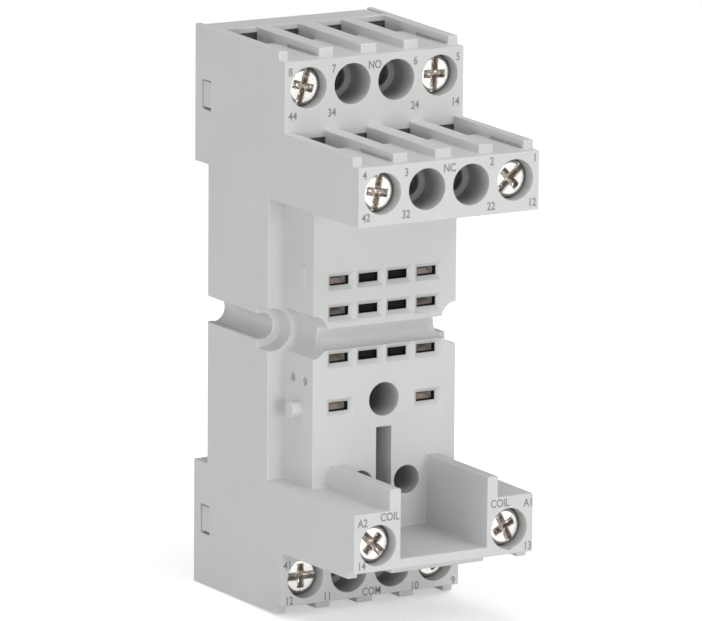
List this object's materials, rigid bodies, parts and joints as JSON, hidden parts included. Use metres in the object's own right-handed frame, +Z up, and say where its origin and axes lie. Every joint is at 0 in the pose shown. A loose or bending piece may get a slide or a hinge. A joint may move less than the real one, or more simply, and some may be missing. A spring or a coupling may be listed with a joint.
{
  "type": "relay socket",
  "caption": "Rail-mounted socket for a plug-in relay, with stepped screw terminal tiers, relay slots and a module bay.",
  "frame": {"origin": "middle of the bottom of the overall box", "axes": "+Z up along the height, -Y towards the relay side, +X to the right seen from the relay side"},
  "size_m": [0.027, 0.0426, 0.0755],
  "materials": {
    "housing_plastic": "fine satin moulded surface",
    "cover_plastic": "fine satin moulded surface",
    "latch_plastic": "satin moulded surface",
    "spring_steel": "drawn spring wire",
    "contact_copper": "stamped copper alloy",
    "cage_steel": "zinc plated",
    "screw_nickel": "bright nickel plated"
  },
  "bodies": {
    "socket": {"housing": "housing_plastic", "rear_cover": "cover_plastic", "latch_spring": "spring_steel", "contact_1": "contact_copper", "contact_4": "contact_copper", "contact_5": "contact_copper", "contact_8": "contact_copper", "contact_9": "contact_copper", "contact_12": "contact_copper", "contact_13": "contact_copper", "contact_14": "contact_copper"},
    "latch": {"rail_latch": "latch_plastic"},
    "screw_1": {"terminal_screw_1": "screw_nickel"},
    "cage_1": {"clamp_cage_1": "cage_steel"},
    "screw_4": {"terminal_screw_4": "screw_nickel"},
    "cage_4": {"clamp_cage_4": "cage_steel"},
    "screw_5": {"terminal_screw_5": "screw_nickel"},
    "cage_5": {"clamp_cage_5": "cage_steel"},
    "screw_8": {"terminal_screw_8": "screw_nickel"},
    "cage_8": {"clamp_cage_8": "cage_steel"},
    "screw_9": {"terminal_screw_9": "screw_nickel"},
    "cage_9": {"clamp_cage_9": "cage_steel"},
    "screw_12": {"terminal_screw_12": "screw_nickel"},
    "cage_12": {"clamp_cage_12": "cage_steel"},
    "screw_13": {"terminal_screw_13": "screw_nickel"},
    "cage_13": {"clamp_cage_13": "cage_steel"},
    "screw_14": {"terminal_screw_14": "screw_nickel"},
    "cage_14": {"clamp_cage_14": "cage_steel"}
  },
  "joints": [
    {"name": "latch_slide", "type": "slide", "parent": "socket", "child": "latch", "axis": [0, 0, -1], "range_m": [0, 0.0022], "stiffness_N_per_m": 500, "springref_m": -0.003, "deforming": ["latch_spring"]},
    {"name": "screw_1_turn", "type": "hinge", "parent": "socket", "child": "screw_1", "pos_m": [0.0099, -0.02125, 0.0595], "axis": [0, 1, 0], "range_deg": [0, 2881]},
    {"name": "cage_1_slide", "type": "slide", "parent": "socket", "child": "cage_1", "axis": [0, -1, 0], "range_m": [0, 0.004]},
    {"name": "screw_4_turn", "type": "hinge", "parent": "socket", "child": "screw_4", "pos_m": [-0.0099, -0.02125, 0.0595], "axis": [0, 1, 0], "range_deg": [0, 2881]},
    {"name": "cage_4_slide", "type": "slide", "parent": "socket", "child": "cage_4", "axis": [0, -1, 0], "range_m": [0, 0.004]},
    {"name": "screw_5_turn", "type": "hinge", "parent": "socket", "child": "screw_5", "pos_m": [0.0099, -0.0023, 0.0702], "axis": [0, 1, 0], "range_deg": [0, 2881]},
    {"name": "cage_5_slide", "type": "slide", "parent": "socket", "child": "cage_5", "axis": [0, -1, 0], "range_m": [0, 0.004]},
    {"name": "screw_8_turn", "type": "hinge", "parent": "socket", "child": "screw_8", "pos_m": [-0.0099, -0.0023, 0.0702], "axis": [0, 1, 0], "range_deg": [0, 2881]},
    {"name": "cage_8_slide", "type": "slide", "parent": "socket", "child": "cage_8", "axis": [0, -1, 0], "range_m": [0, 0.004]},
    {"name": "screw_9_turn", "type": "hinge", "parent": "socket", "child": "screw_9", "pos_m": [0.0099, -0.0023, 0.00505], "axis": [0, 1, 0], "range_deg": [0, 2881]},
    {"name": "cage_9_slide", "type": "slide", "parent": "socket", "child": "cage_9", "axis": [0, -1, 0], "range_m": [0, 0.004]},
    {"name": "screw_12_turn", "type": "hinge", "parent": "socket", "child": "screw_12", "pos_m": [-0.0099, -0.0023, 0.00505], "axis": [0, 1, 0], "range_deg": [0, 2881]},
    {"name": "cage_12_slide", "type": "slide", "parent": "socket", "child": "cage_12", "axis": [0, -1, 0], "range_m": [0, 0.004]},
    {"name": "screw_13_turn", "type": "hinge", "parent": "socket", "child": "screw_13", "pos_m": [0.0099, -0.02075, 0.0133], "axis": [0, 1, 0], "range_deg": [0, 2881]},
    {"name": "cage_13_slide", "type": "slide", "parent": "socket", "child": "cage_13", "axis": [0, -1, 0], "range_m": [0, 0.004]},
    {"name": "screw_14_turn", "type": "hinge", "parent": "socket", "child": "screw_14", "pos_m": [-0.0099, -0.02075, 0.0133], "axis": [0, 1, 0], "range_deg": [0, 2881]},
    {"name": "cage_14_slide", "type": "slide", "parent": "socket", "child": "cage_14", "axis": [0, -1, 0], "range_m": [0, 0.004]}
  ],
  "couplings": [
    {"joint": "screw_1_turn", "follows": "cage_1_slide", "rad_per_m": 12566},
    {"joint": "screw_4_turn", "follows": "cage_4_slide", "rad_per_m": 12566},
    {"joint": "screw_5_turn", "follows": "cage_5_slide", "rad_per_m": 12566},
    {"joint": "screw_8_turn", "follows": "cage_8_slide", "rad_per_m": 12566},
    {"joint": "screw_9_turn", "follows": "cage_9_slide", "rad_per_m": 12566},
    {"joint": "screw_12_turn", "follows": "cage_12_slide", "rad_per_m": 12566},
    {"joint": "screw_13_turn", "follows": "cage_13_slide", "rad_per_m": 12566},
    {"joint": "screw_14_turn", "follows": "cage_14_slide", "rad_per_m": 12566}
  ]
}
